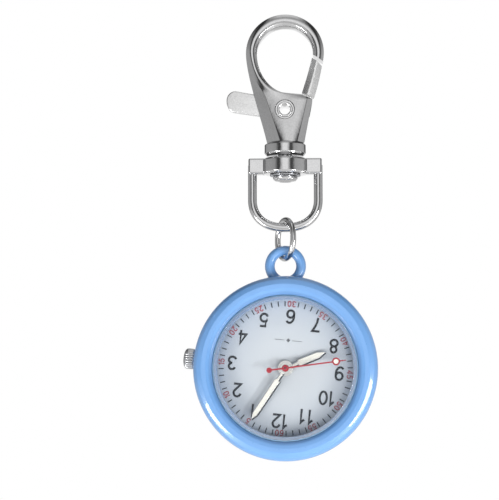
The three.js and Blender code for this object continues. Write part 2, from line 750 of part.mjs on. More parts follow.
function boardBody() {
  return plate(outlineShape([
    [5.0, -1.2], [8.9, -1.2], [8.2, -4.2], [6.2, -6.8], [3.4, -8.4], [0.9, -9.0], [0.9, -5.4],
    [3.2, -5.2], [3.7, -2.9],
  ]), level.board);
}

function quartzBody() {
  const can = turned([
    [0, -2.4], [0.5, -2.4], [0.6, -2.2], [0.6, 2.3], [0.5, 2.4], [0, 2.4],
  ], 18).rotateZ(-Math.PI / 2);
  return can.rotateY(-0.25).translate(4.0, 1.45, -6.2);
}

function chipBody() {
  return block([4.1, 5.7], [1.78, 2.12], [-4.8, -3.2]);
}

function batteryBody() {
  const { centre, radius, from, to } = battery;
  return turned([
    [0, from], [radius - 0.6, from], [radius - 0.55, from + 0.25], [radius, from + 0.3],
    [radius, to - 0.12], [radius - 0.12, to], [0, to],
  ], 28).translate(centre[0], 0, centre[1]);
}

function contactBody() {
  const { centre } = battery;
  return strap(centre, [centre[0] + 1.9, centre[1] + 1.6], 0.5, [-0.1, -0.03]);
}

function clipBody() {
  const levels = [battery.to + 0.03, battery.to + 0.18];
  const bar = strap(battery.centre, clipScrew, 0.8, levels);
  return cut(joined(bar, disc(1.9, levels, battery.centre, 24)), disc(0.28, [2, 4], clipScrew, 12));
}

add(dialGroup, 'rotor', rotorBody(), finish.magnet, train.rotor);
add(dialGroup, 'stator', statorBody(), finish.softIron);
add(dialGroup, 'coil_core', coreBody(), finish.softIron);
add(dialGroup, 'coil_winding', windingBody(), finish.copper);
coilScrews.forEach((place, i) => {
  add(dialGroup, `coil_screw_${i + 1}`, screw(place, level.stator[1] + 0.02, 0.95), finish.springSteel);
});
add(dialGroup, 'circuit_board', boardBody(), finish.boardGreen);
add(dialGroup, 'quartz_can', quartzBody(), finish.satinSteel);
add(dialGroup, 'circuit_chip', chipBody(), finish.blackPlastic);
add(dialGroup, 'battery', batteryBody(), finish.satinSteel);
add(dialGroup, 'battery_contact', contactBody(), finish.brass);
add(dialGroup, 'battery_clip', clipBody(), finish.springSteel);

// ---------------------------------------------------------------------------
// Movement: wheels
// ---------------------------------------------------------------------------

// Directions of the meshes, from the first wheel of each pair to the second.
const toThird = 55;
const toFifth = 165;
const toMinute = -20;
const toSetting = 20;

function fifthWheel() {
  return joined(
    disc(0.09, [0.58, 2.3], [0, 0], 12),
    gear(36, 0.08, level.thirdWheel, { phase: gapFacing(toFifth + 180, 36) }),
    gear(8, 0.112, [1.5, 1.9], { phase: toFifth + 180 }),
  );
}

function secondsWheel() {
  return joined(
    disc(0.12, [-2.3, 2.3], [0, 0], 12),
    gear(40, 0.112, level.secondsWheel, { phase: gapFacing(toFifth + 180, 40) }),
    gear(8, 0.08, [1.12, 1.5], { phase: toThird }),
  );
}

function thirdWheel() {
  return joined(
    disc(0.09, [0.58, 2.3], [0, 0], 12),
    gear(64, 0.08, level.thirdWheel, { phase: gapFacing(toThird, 64) }),
    gear(8, 2.88 / 34, [0.8, 1.06], { phase: toThird + 180 }),
  );
}

function centreWheel() {
  return gear(60, 2.88 / 34, level.centreWheel, { phase: gapFacing(toThird + 180, 60), bore: 0.42 });
}

function cannonPinion() {
  const tube = ring(0.16, 0.39, [-2.0, 1.05], 18);
  const leaves = cut(gear(12, 0.1, [0.02, 0.3], { phase: toMinute }), disc(0.2, [-1, 1], [0, 0], 12));
  return joined(tube, leaves);
}

function minuteWheel() {
  return joined(
    disc(0.1, [-0.3, 0.5], [0, 0], 12),
    gear(36, 0.1, level.minuteWheel, { phase: gapFacing(toMinute, 36) }),
    gear(10, 0.096, [-0.26, 0.1], { phase: toMinute + 180 }),
  );
}

function hourWheel() {
  const pipe = ring(0.45, 0.7, [-1.42, -0.04], 20);
  const teeth = gear(40, 0.096, level.hourWheel, { phase: gapFacing(toMinute + 180, 40), bore: 0.5 });
  return joined(pipe, teeth);
}

function settingWheel() {
  return joined(
    disc(0.1, [-0.28, 0.5], [0, 0], 12),
    gear(20, 0.1, level.minuteWheel, { phase: toSetting + 180 }),
  );
}

add(dialGroup, 'fifth_wheel', fifthWheel(), finish.brass, train.fifth);
add(dialGroup, 'seconds_wheel', secondsWheel(), finish.brass);
add(dialGroup, 'third_wheel', thirdWheel(), finish.brass, train.third);
add(dialGroup, 'centre_wheel', centreWheel(), finish.brass);
add(dialGroup, 'cannon_pinion', cannonPinion(), finish.springSteel);
add(dialGroup, 'minute_wheel', minuteWheel(), finish.nylon, train.minute);
add(dialGroup, 'hour_wheel', hourWheel(), finish.brass);
add(dialGroup, 'setting_wheel', settingWheel(), finish.springSteel, train.setting);

export default group;
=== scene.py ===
import math

import bmesh
import bpy
from mathutils import Matrix, Vector


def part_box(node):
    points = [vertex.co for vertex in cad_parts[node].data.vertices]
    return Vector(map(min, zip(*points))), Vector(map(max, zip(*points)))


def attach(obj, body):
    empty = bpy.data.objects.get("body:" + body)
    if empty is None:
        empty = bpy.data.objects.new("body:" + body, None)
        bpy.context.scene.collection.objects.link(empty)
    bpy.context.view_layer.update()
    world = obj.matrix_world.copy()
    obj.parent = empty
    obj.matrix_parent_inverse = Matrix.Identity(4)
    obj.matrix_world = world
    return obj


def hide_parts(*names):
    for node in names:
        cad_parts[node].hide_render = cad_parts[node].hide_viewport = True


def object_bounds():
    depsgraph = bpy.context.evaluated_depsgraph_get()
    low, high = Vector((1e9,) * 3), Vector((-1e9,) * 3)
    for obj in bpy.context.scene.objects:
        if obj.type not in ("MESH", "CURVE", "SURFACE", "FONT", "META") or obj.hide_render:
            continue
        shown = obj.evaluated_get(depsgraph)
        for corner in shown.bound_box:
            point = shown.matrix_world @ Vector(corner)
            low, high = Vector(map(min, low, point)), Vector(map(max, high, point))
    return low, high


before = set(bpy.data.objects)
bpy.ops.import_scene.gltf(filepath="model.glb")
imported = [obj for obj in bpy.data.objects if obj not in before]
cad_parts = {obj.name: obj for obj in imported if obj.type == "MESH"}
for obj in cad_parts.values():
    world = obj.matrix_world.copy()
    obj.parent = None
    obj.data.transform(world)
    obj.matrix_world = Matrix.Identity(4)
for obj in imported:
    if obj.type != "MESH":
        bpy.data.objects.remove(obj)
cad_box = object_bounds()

MM = 0.001

# ------------------------------------------------------------------ places, from the frame
case_low, case_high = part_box("case_back")
CASE_Z = (case_low[2] + case_high[2]) / 2 / MM
CASE_RADIUS = 14.84
DIAL_RADIUS = 12.4
CRYSTAL_RADIUS = 11.6
STEM_Y = 1.15
DIAL_TURN = math.radians(185.7)
DIAL_FRAME = Matrix.Translation((0, 0, CASE_Z * MM)) @ Matrix.Rotation(DIAL_TURN, 4, "Y")
WATCH_FRAME = Matrix.Translation((0, 0, CASE_Z * MM))
# Along the dial's 3 o'clock line, from the watch's axis outwards: +Y of this frame.
STEM_FRAME = DIAL_FRAME @ Matrix.Translation((0, STEM_Y * MM, 0)) @ Matrix.Rotation(-math.pi / 2, 4, "Z")
HAND_ANGLE = {"hour": 242.36, "minute": 28.28, "second": 256.8}


# ------------------------------------------------------------------ materials
def principled(name, colour, metallic=0.0, roughness=0.4, **sockets):
    material = bpy.data.materials.new(name)
    material.use_nodes = True
    shader = material.node_tree.nodes["Principled BSDF"]
    shader.inputs["Base Color"].default_value = (*colour, 1)
    shader.inputs["Metallic"].default_value = metallic
    shader.inputs["Roughness"].default_value = roughness
    for socket, value in sockets.items():
        shader.inputs[socket.replace("_", " ")].default_value = value
    return material, material.node_tree, shader


def noise(tree, scale, detail=3.0, stretch=(1, 1, 1)):
    coords = tree.nodes.new("ShaderNodeTexCoord")
    mapping = tree.nodes.new("ShaderNodeMapping")
    mapping.inputs["Scale"].default_value = stretch
    texture = tree.nodes.new("ShaderNodeTexNoise")
    texture.inputs["Scale"].default_value = scale
    texture.inputs["Detail"].default_value = detail
    tree.links.new(coords.outputs["Object"], mapping.inputs["Vector"])
    tree.links.new(mapping.outputs["Vector"], texture.inputs["Vector"])
    return texture.outputs["Fac"]


def ramp(tree, factor, stops):
    node = tree.nodes.new("ShaderNodeValToRGB")
    elements = node.color_ramp.elements
    while len(elements) < len(stops):
        elements.new(0.5)
    for element, (place, colour) in zip(elements, stops):
        element.position = place
        element.color = (*colour, 1) if len(colour) == 3 else colour
    tree.links.new(factor, node.inputs["Fac"])
    return node.outputs["Color"]


def inward(tree, radius):
    """0 at that radius from the watch's axis and beyond, 1 on the axis."""
    coords = tree.nodes.new("ShaderNodeTexCoord")
    place = tree.nodes.new("ShaderNodeMapping")
    place.inputs["Location"].default_value = (0, 0, -CASE_Z / radius)
    place.inputs["Scale"].default_value = (1 / (radius * MM), 0, 1 / (radius * MM))
    gradient = tree.nodes.new("ShaderNodeTexGradient")
    gradient.gradient_type = "SPHERICAL"
    tree.links.new(coords.outputs["Object"], place.inputs["Vector"])
    tree.links.new(place.outputs["Vector"], gradient.inputs["Vector"])
    return gradient.outputs["Fac"]


def multiply(tree, one, other):
    mix = tree.nodes.new("ShaderNodeMixRGB")
    mix.blend_type = "MULTIPLY"
    mix.inputs["Fac"].default_value = 1.0
    tree.links.new(one, mix.inputs["Color1"])
    tree.links.new(other, mix.inputs["Color2"])
    return mix.outputs["Color"]


def remap(tree, factor, low, high):
    node = tree.nodes.new("ShaderNodeMapRange")
    node.inputs["To Min"].default_value = low
    node.inputs["To Max"].default_value = high
    tree.links.new(factor, node.inputs["Value"])
    return node.outputs["Result"]


def bump(tree, shader, height, strength, distance):
    node = tree.nodes.new("ShaderNodeBump")
    node.inputs["Strength"].default_value = strength
    node.inputs["Distance"].default_value = distance
    tree.links.new(height, node.inputs["Height"])
    tree.links.new(node.outputs["Normal"], shader.inputs["Normal"])


def textured(name, colour, dark, metallic, roughness, grain=900, stretch=(1, 1, 1), depth=0.02, **sockets):
    """A material whose colour runs from colour to dark with a fine noise, which also sets its
    roughness, between the two values given, and its bump."""
    material, tree, shader = principled(name, colour, metallic, roughness[0], **sockets)
    fine = noise(tree, grain, 4, stretch)
    tree.links.new(ramp(tree, fine, [(0.3, dark), (0.7, colour)]), shader.inputs["Base Color"])
    tree.links.new(remap(tree, fine, *roughness), shader.inputs["Roughness"])
    bump(tree, shader, fine, 0.35, depth * MM)
    return material


def chrome_plate(name, colour, roughness, waviness):
    """Plated zinc: a mirror with the slow waves of the casting and fine handling marks."""
    material, tree, shader = principled(name, colour, 1.0, roughness)
    waves = noise(tree, 620, 3)
    marks = noise(tree, 3400, 4)
    tree.links.new(remap(tree, marks, roughness * 0.6, roughness * 1.9), shader.inputs["Roughness"])
    shade = [tuple(0.93 * c for c in colour), colour]
    tree.links.new(ramp(tree, marks, [(0.35, shade[0]), (0.6, shade[1])]), shader.inputs["Base Color"])
    add = tree.nodes.new("ShaderNodeMath")
    add.operation = "MULTIPLY_ADD"
    add.inputs[1].default_value = 0.25
    tree.links.new(marks, add.inputs[0])
    tree.links.new(waves, add.inputs[2])
    bump(tree, shader, add.outputs["Value"], waviness, 0.05 * MM)
    return material


def enamel_paint():
    """Glossy blue paint: slow colour variation, faint orange peel and a few specks, with painted shade
    darkening it towards the inner lip.
    """
    material, tree, shader = principled(
        "blue_enamel", (0.145, 0.325, 0.640), 0.0, 0.3,
        Coat_Weight=0.7, Coat_Roughness=0.04, Specular_IOR_Level=0.5)
    slow = noise(tree, 160, 2)
    peel = noise(tree, 1900, 2)
    specks = noise(tree, 5200, 1)
    tint = ramp(tree, slow, [(0.3, (0.138, 0.315, 0.625)), (0.7, (0.155, 0.338, 0.660))])
    speck = ramp(tree, specks, [(0.0, (0.55, 0.6, 0.66)), (0.215, (1, 1, 1))])
    # Painted shade: the colour darkens inwards from the rim to the inner lip round the crystal, where the lip
    # falls into shade.
    lip_painted_shade_stops = [(0.165, (1, 1, 1)), (0.19, (0.72, 0.76, 0.80)), (0.22, (0.6, 0.66, 0.7))]
    lip_painted_shade = ramp(tree, inward(tree, CASE_RADIUS), lip_painted_shade_stops)
    colour = multiply(tree, multiply(tree, tint, speck), lip_painted_shade)
    tree.links.new(colour, shader.inputs["Base Color"])
    tree.links.new(remap(tree, peel, 0.24, 0.36), shader.inputs["Roughness"])
    bump(tree, shader, peel, 0.05, 0.02 * MM)
    return material


def brushed(name, colour, roughness, stretch, grain=1500):
    return textured(name, colour, tuple(0.84 * c for c in colour), 1.0, roughness, grain, stretch, 0.01)


def dial_paint():
    """White dial paint with a pearl tint, darker towards its edge as painted shade from the bezel."""
    material, tree, shader = principled("dial_paint", (0.62, 0.68, 0.72), 0.0, 0.42)
    # Painted shade: the colour darkens towards the dial's edge, where the bezel's shadow falls.
    stops = [(0.08, (0.34, 0.39, 0.45)), (0.22, (0.46, 0.50, 0.545)), (0.6, (0.515, 0.55, 0.58))]
    tone_and_painted_rim_shade = ramp(tree, inward(tree, DIAL_RADIUS), stops)
    tree.links.new(tone_and_painted_rim_shade, shader.inputs["Base Color"])
    fine = noise(tree, 3000, 3)
    tree.links.new(remap(tree, fine, 0.36, 0.5), shader.inputs["Roughness"])
    bump(tree, shader, fine, 0.05, 0.01 * MM)
    return material


def crystal_glass():
    """Clear plastic: nearly nothing face on, with a painted pale lavender sheen in the bevel round its edge.
    """
    material, tree, shader = principled(
        "crystal_glass", (0.42, 0.50, 0.62), 0.0, 0.03, Coat_Weight=1.0, Coat_Roughness=0.02)
    # Painted sheen: the bevel round the edge is made more opaque by its radius, standing in for the light it
    # reflects.
    stops = [(0.0, (0.42,) * 3), (0.05, (0.34,) * 3), (0.065, (0.03,) * 3)]
    face_cover_and_painted_bevel_sheen = ramp(tree, inward(tree, CRYSTAL_RADIUS), stops)
    tree.links.new(face_cover_and_painted_bevel_sheen, shader.inputs["Alpha"])
    smear = noise(tree, 260, 3)
    tree.links.new(remap(tree, smear, 0.02, 0.09), shader.inputs["Roughness"])
    return material


STEEL = (0.60, 0.61, 0.63)
look = {
    "enamel": enamel_paint(),
    "chrome": chrome_plate("chrome_plate", (0.62, 0.62, 0.625), 0.08, 0.5),
    "ring_wire": chrome_plate("ring_wire", (0.66, 0.66, 0.665), 0.10, 0.2),
    "lever": textured(
        "satin_lever", (0.90, 0.90, 0.90), (0.72, 0.72, 0.72), 1.0, (0.22, 0.40), 4200, depth=0.03),
    "satin_steel": brushed("satin_steel", STEEL, (0.22, 0.40), (1, 1, 0.08)),
    "back_steel": brushed("back_steel", (0.72, 0.73, 0.75), (0.22, 0.36), (0.03, 1, 1), 5200),
    "spring_steel": brushed("spring_steel", (0.46, 0.47, 0.49), (0.25, 0.42), (0.2, 1, 1)),
    "crystal": crystal_glass(),
    "dial_white": dial_paint(),
    "ink_black": textured("ink_black", (0.010, 0.011, 0.013), (0.006, 0.006, 0.008), 0.0, (0.4, 0.6), 3000),
    "ink_red": textured("ink_red", (0.33, 0.012, 0.025), (0.26, 0.008, 0.018), 0.0, (0.4, 0.6), 3000),
    "ink_grey": textured("ink_grey", (0.12, 0.125, 0.14), (0.09, 0.09, 0.1), 0.0, (0.4, 0.6), 3000),
    "hand_metal": textured("hand_metal", (0.74, 0.73, 0.70), (0.6, 0.6, 0.58), 1.0, (0.16, 0.3), 2400),
    "hand_shade": textured(
        "hand_shade", (0.03, 0.03, 0.03), (0.015, 0.015, 0.015), 0.3, (0.3, 0.5), 2400),
    "gasket_nylon": textured(
        "gasket_nylon", (0.16, 0.30, 0.46), (0.13, 0.26, 0.42), 0.0, (0.45, 0.65), 900),
    "hand_cream": textured(
        "hand_cream", (0.80, 0.79, 0.71), (0.70, 0.69, 0.62), 0.0, (0.45, 0.65), 5200, depth=0.03),
    "hand_red": textured("hand_red", (0.38, 0.004, 0.014), (0.30, 0.003, 0.01), 0.0, (0.28, 0.42), 2600),
    "brass": textured("brass", (0.60, 0.42, 0.14), (0.50, 0.34, 0.11), 1.0, (0.25, 0.42), 1400),
    "rubber": textured("rubber", (0.018, 0.018, 0.02), (0.03, 0.03, 0.032), 0.0, (0.65, 0.85), 1800),
    "nylon": textured("nylon", (0.66, 0.68, 0.66), (0.60, 0.62, 0.60), 0.0, (0.45, 0.65), 900),
    "black_plastic": textured(
        "black_plastic", (0.025, 0.027, 0.03), (0.04, 0.042, 0.046), 0.0, (0.45, 0.6), 1500),
    "magnet": textured("magnet", (0.09, 0.09, 0.1), (0.05, 0.05, 0.055), 0.7, (0.45, 0.6), 1200),
    "soft_iron": brushed("soft_iron", (0.33, 0.34, 0.36), (0.3, 0.5), (0.15, 1, 1)),
    "copper": textured(
        "copper", (0.46, 0.14, 0.05), (0.30, 0.08, 0.03), 0.9, (0.3, 0.45), 2500, (6, 0.3, 0.3), 0.06),
    "board_green": textured("board_green", (0.03, 0.15, 0.07), (0.02, 0.10, 0.05), 0.0, (0.4, 0.6), 1200),
}


# ------------------------------------------------------------------ mesh helpers
def piece(name, mesh, material, body, node=None, smooth=35.0, frame_matrix=None):
    """One finished object, riding on its body."""
    if frame_matrix is not None:
        mesh.transform(frame_matrix)
    mesh.materials.clear()
    mesh.materials.append(look[material])
    if smooth:
        mesh.shade_smooth()
        mesh.set_sharp_from_angle(angle=math.radians(smooth))
    made = bpy.data.objects.new(name, mesh)
    bpy.context.scene.collection.objects.link(made)
    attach(made, body)
    if node:
        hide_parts(node)
    return made


def mesh_of(name, vertices, faces):
    mesh = bpy.data.meshes.new(name)
    mesh.from_pydata([tuple(MM * c for c in v) for v in vertices], [], faces)
    bm = bmesh.new()
    bm.from_mesh(mesh)
    bmesh.ops.remove_doubles(bm, verts=bm.verts, dist=1e-7)
    bmesh.ops.recalc_face_normals(bm, faces=bm.faces)
    bm.to_mesh(mesh)
    bm.free()
    return mesh


def rounded(points, radius, steps=4, closed=True):
    """The outline with its corners rounded. A point may carry its own radius as a third value."""
    result = []
    count = len(points)
    for i, point in enumerate(points):
        here = Vector(point[:2])
        own = point[2] if len(point) > 2 else radius
        if own == 0 or (not closed and i in (0, count - 1)):
            result.append(tuple(here))
            continue
        before = Vector(points[i - 1][:2]) - here
        after = Vector(points[(i + 1) % count][:2]) - here
        turn = min(before.angle(after, math.pi), math.radians(179))
        reach = min(own / math.tan(turn / 2), before.length * 0.45, after.length * 0.45)
        start = here + before.normalized() * reach
        end = here + after.normalized() * reach
        for k in range(steps + 1):
            t = k / steps
            result.append(tuple(start * (1 - t) ** 2 + here * 2 * t * (1 - t) + end * t ** 2))
    return result


def lathe(name, outline, axis="Y", segments=128, centre=(0, 0, 0)):
    """A turned mesh from [radius, height] points. It closes on itself unless it ends on the axis."""
    vertices = []
    faces = []
    count = len(outline)
    closed = outline[0][0] > 1e-9 or outline[-1][0] > 1e-9
    for s in range(segments):
        angle = 2 * math.pi * s / segments
        for r, h in outline:
            a, b = r * math.cos(angle), r * math.sin(angle)
            spot = (a, h, b) if axis == "Y" else (a, b, h)
            vertices.append(tuple(spot[k] + centre[k] for k in range(3)))
    for s in range(segments):
        for i in range(count if closed else count - 1):
            j = (i + 1) % count
            this, other = s * count, ((s + 1) % segments) * count
            faces.append((this + i, this + j, other + j, other + i))
    return mesh_of(name, vertices, faces)


def loft(name, sections):
    """A closed skin through sections of the same number of points, capped at both ends."""
    count = len(sections[0])
    vertices = [p for section in sections for p in section]
    faces = []
    for s in range(len(sections) - 1):
        for i in range(count):
            j = (i + 1) % count
            faces.append((s * count + i, s * count + j, (s + 1) * count + j, (s + 1) * count + i))
    faces.append(tuple(range(count)))
    faces.append(tuple(range((len(sections) - 1) * count, len(sections) * count)))
    return mesh_of(name, vertices, faces)


def tube(name, path, radius, sides=24):
    """A round wire along a list of points."""
    sections = []
    for i, here in enumerate(path):
        ahead = Vector(path[min(i + 1, len(path) - 1)]) - Vector(path[max(i - 1, 0)])
        ahead.normalize()
        side = ahead.cross(Vector((0, 1, 0))) if abs(ahead.y) < 0.9 else ahead.cross(Vector((1, 0, 0)))
        side.normalize()
        up = side.cross(ahead).normalized()
        ring = []
        for k in range(sides):
            a = 2 * math.pi * k / sides
            ring.append(tuple(Vector(here) + (side * math.cos(a) + up * math.sin(a)) * radius))
        sections.append(ring)
    return loft(name, sections)


def flat(name, outlines, y_front, y_back, bevel=0.0, bevel_steps=3):
    """A flat piece in the XZ plane. Outlines after the first are holes."""
    curve = bpy.data.curves.new(name, "CURVE")
    curve.dimensions = "2D"
    curve.fill_mode = "BOTH"
    depth = (y_back - y_front) / 2
    curve.extrude = (depth - bevel) * MM
    curve.bevel_depth = bevel * MM
    curve.bevel_resolution = bevel_steps
    curve.offset = -bevel * MM
    for outline in outlines:
        spline = curve.splines.new("POLY")
        spline.points.add(len(outline) - 1)
        for point, (x, z) in zip(spline.points, outline):
            point.co = (x * MM, z * MM, 0, 1)
        spline.use_cyclic_u = True
    holder = bpy.data.objects.new(name, curve)
    mesh = bpy.data.meshes.new_from_object(holder)
    bpy.data.objects.remove(holder)
    # The curve lies in XY with its face towards +Z: stand it up, with that face towards -Y.
    mesh.transform(Matrix.Rotation(math.radians(90), 4, "X"))
    mesh.transform(Matrix.Translation((0, (y_front + y_back) / 2 * MM, 0)))
    return mesh


def boolean(mesh, cutters, operation="DIFFERENCE"):
    """The mesh less, or joined with, each cutter mesh."""
    base = bpy.data.objects.new("base", mesh)
    bpy.context.scene.collection.objects.link(base)
    helpers = []
    for cutter in cutters:
        tool = bpy.data.objects.new("tool", cutter)
        bpy.context.scene.collection.objects.link(tool)
        helpers.append(tool)
        modifier = base.modifiers.new("cut", "BOOLEAN")
        modifier.operation = operation
        modifier.solver = "EXACT"
        modifier.object = tool
    bpy.context.view_layer.update()
    graph = bpy.context.evaluated_depsgraph_get()
    result = bpy.data.meshes.new_from_object(base.evaluated_get(graph))
    for helper in [base, *helpers]:
        bpy.data.objects.remove(helper)
    return result


def joined(meshes):
    bm = bmesh.new()
    for mesh in meshes:
        bm.from_mesh(mesh)
    result = bpy.data.meshes.new(meshes[0].name)
    bm.to_mesh(result)
    bm.free()
    return result


def around(centre, radius, degrees):
    """The point of a circle in the XZ plane at that angle from X towards Z."""
    a = math.radians(degrees)
    return (centre[0] + radius * math.cos(a), centre[1] + radius * math.sin(a))


def arc(centre, radius, start, end, steps):
    return [around(centre, radius, start + (end - start) * k / steps) for k in range(steps + 1)]


def bezier(p0, p1, p2, p3, steps):
    spots = []
    for k in range(steps + 1):
        t = k / steps
        weights = ((1 - t) ** 3, 3 * t * (1 - t) ** 2, 3 * t * t * (1 - t), t ** 3)
        spots.append(tuple(sum(w * p[c] for w, p in zip(weights, (p0, p1, p2, p3))) for c in range(2)))
    return spots


def along(path, share):
    """The point at that share of a path's length."""
    lengths = [math.dist(a, b) for a, b in zip(path, path[1:])]
    target = share * sum(lengths)
    for (a, b), length in zip(zip(path, path[1:]), lengths):
        if target <= length:
            t = target / length if length else 0
            return tuple(a[c] + t * (b[c] - a[c]) for c in range(2))
        target -= length
    return path[-1]


def blend_values(stops, value):
    """Straight interpolation in a list of (place, value), places rising."""
    if value <= stops[0][0]:
        return stops[0][1]
    for (a, low), (b, high) in zip(stops, stops[1:]):
        if value <= b:
            return low + (high - low) * (value - a) / (b - a)
    return stops[-1][1]


# ------------------------------------------------------------------ swivel hook
FOOT_Z = -19.3
SEAT_INNER = (2.55, -11.35)
SEAT_OUTER = (4.5, -12.15)
PIVOT_Z = -13.95


def hook_section(outer, inner, outer_chamfer, inner_chamfer):
    """One closed section of the hook between its two edges, with chamfered and rounded corners.
    A chamfer is (its width in the plane of the hook, its depth)."""
    width = math.dist(outer, inner)
    across = [(inner[c] - outer[c]) / width for c in range(2)]

    def deep(u):
        z = outer[1] + across[1] * u
        return blend_values([(FOOT_Z, 2.75), (-8.0, 1.6)], z)

    wide_o, back_o = outer_chamfer
    wide_i, back_i = inner_chamfer
    flat_width = width - wide_o - wide_i
    swell = min(0.14 * flat_width, 0.24)
    face = []
    for step in range(9):
        share = step / 8
        u = wide_o + flat_width * share
        face.append((u, deep(u) - swell * (2 * share - 1) ** 2, 0.3 if step in (0, 8) else 0))
    half = [(0.0, deep(0) - back_o - swell / 2, 0.3), *face, (width, deep(width) - back_i - swell / 2, 0.3)]
    ring = [(u, -y, r) for u, y, r in half] + [(u, y, r) for u, y, r in reversed(half)]
    return [(outer[0] + across[0] * u, y, outer[1] + across[1] * u) for u, y in rounded(ring, 0.2, 5)]


def hook_mesh():
    outer_left = bezier((-6.4, -4.4), (-6.4, -8.0), (-4.05, -14.6), (-2.95, FOOT_Z), 40)
    split = next(i for i, p in enumerate(outer_left) if p[1] < SEAT_OUTER[1])
    inner_left = bezier((-4.6, -4.6), (-4.6, -7.6), (-2.6, -10.9), (0.65, -11.33), 24)
    inner_left += [SEAT_INNER, SEAT_OUTER]
    sections = []
    loop_steps = 56
    for k in range(loop_steps):
        t = k / loop_steps
        outer = around((0, -4.4), 6.4, -13.6 + 193.6 * t)
        inner = around((0, -4.6), 4.6, -2 + 182 * t)
        grow = blend_values([(0.0, 0.32), (0.6, 0.36), (1.0, 0.55)], t)
        sections.append(hook_section(outer, inner, (grow, grow), (0.4, 0.5)))
    waist_steps = 30
    for k in range(waist_steps):
        t = k / waist_steps
        outer = along(outer_left[:split + 1], t)
        inner = along(inner_left, t ** 1.15)
        wide = blend_values([(0, 0.55), (0.4, 0.98), (0.9, 1.75), (1, 1.85)], t)
        back = blend_values([(0, 0.55), (1, 1.05)], t)
        edge = blend_values([(0.9, 0.35), (1, 0.8)], t)
        sections.append(hook_section(outer, inner, (wide, back), (edge, edge * 0.9)))
    trunk_steps = 24
    for k in range(trunk_steps + 1):
        t = k / trunk_steps
        outer = along(outer_left[split:], t)
        inner = along([SEAT_OUTER, (3.15, FOOT_Z)], t)
        wide = blend_values([(0, 1.85), (1, 2.15)], t)
        back = blend_values([(0, 1.05), (1, 1.9)], t)
        edge = blend_values([(0, 0.8), (1, 1.0)], t)
        sections.append(hook_section(outer, inner, (wide, back), (edge, 0.9 + 0.8 * t)))
    body = loft("hook_body_fine", sections)
    slot_outline = [
        (-8, -9.6), (-8, -18.4), (-4.2, -17.6), (-1.6, -16.2), (3.2, -16.2), (6, -11.6),
        (6, -10.6), (-1, -10.6),
    ]
    slot = flat("slot", [slot_outline], -0.7, 0.7)
    bore = lathe("bore", [(0, -4), (1.14, -4), (1.14, 4), (0, 4)], segments=64, centre=(0, 0, PIVOT_Z))
    recesses = []
    for side in (-1, 1):
        dish = [(0, side * 1.86), (1.5, side * 1.86), (1.65, side * 2.0), (1.72, side * 4), (0, side * 4)]
        recesses.append(lathe("recess", dish, segments=64, centre=(0, 0, PIVOT_Z)))
    body = boolean(body, [slot, bore, *recesses])
    collar = rounded([
        (0, FOOT_Z + 0.12, 0), (2.75, FOOT_Z + 0.12, 0.1), (3.4, FOOT_Z - 0.28, 0.22), (3.4, -20.95, 0.25),
        (2.95, -21.5, 0.2), (0, -21.5, 0),
    ], 0.2, 4, closed=False)
    return joined([body, lathe("collar", collar, "Z", 96)])


piece("hook_body_fine", hook_mesh(), "chrome", "hook", "hook_body")


def gate_mesh():
    """The arm is roof-shaped front and back, with a narrow ridge; its root is a plain flat plate."""
    low_in, low_out = (2.75, -11.02), (4.72, -11.86)
    high_in, high_out = (4.45, -5.15), (6.05, -6.55)
    sections = []
    steps = 12
    for k in range(steps + 1):
        t = k / steps
        bow = 0.10 * math.sin(math.pi * t)
        a = (low_in[0] + (high_in[0] - low_in[0]) * t + bow * 0.6, low_in[1] + (high_in[1] - low_in[1]) * t)
        b = (low_out[0] + (high_out[0] - low_out[0]) * t + bow, low_out[1] + (high_out[1] - low_out[1]) * t)
        width = math.dist(a, b)
        d = [(b[c] - a[c]) / width for c in range(2)]
        half = [(0, 0.45, 0.12), (width * 0.44, 1.35, 0.1), (width * 0.60, 1.35, 0.1), (width, 0.5, 0.14)]
        ring = [(u, -y, r) for u, y, r in half] + [(u, y, r) for u, y, r in reversed(half)]
        sections.append([(a[0] + d[0] * u, y, a[1] + d[1] * u) for u, y in rounded(ring, 0.12, 3)])
    arm = loft("arm", sections)
    root = [
        (-0.5, -12.1), (2.2, -12.4), (3.1, -10.6), (4.4, -11.4), (3.6, -12.6), (1.2, -15.4), (-0.6, -15.6),
    ]
    tab = [(-0.4, -12.1), (-8.2, -10.55)]
    tab += bezier((-8.2, -10.55), (-9.3, -10.7), (-9.75, -11.6), (-9.6, -12.6), 8)[1:]
    tab += bezier((-9.6, -12.6), (-9.4, -13.7), (-8.8, -14.1), (-8.1, -14.15), 8)[1:]
    tab += [(-4.0, -14.8), (-0.4, -15.6)]
    hub = arc((0, PIVOT_Z), 1.9, 0, 355, 71)
    plates = [flat("root", [root], -0.6, 0.6, 0.08), flat("tab", [tab], -0.6, 0.6, 0.2, 4),
              flat("hub", [hub], -0.6, 0.6)]
    hole = [(0, -1), (1.15, -1), (1.15, 1), (0, 1)]
    bored = [boolean(p, [lathe("hole", hole, segments=48, centre=(0, 0, PIVOT_Z))]) for p in plates]
    return joined([arm, *bored])


piece("gate_lever_fine", gate_mesh(), "lever", "gate", "gate_lever")

rivet_outline = rounded([
    (0.875, -2.10), (1.0, -2.17), (1.2, -2.17), (1.28, -2.0), (1.28, -1.9), (1.1, -1.9),
    (1.1, 1.9), (1.28, 1.9), (1.28, 2.0), (1.2, 2.17), (1.0, 2.17), (0.875, 2.10),
], 0.08, 4)
rivet_mesh = lathe("gate_rivet_fine", rivet_outline, "Y", 72, (0, 0, PIVOT_Z))
piece("gate_rivet_fine", rivet_mesh, "chrome", "hook", "gate_rivet")

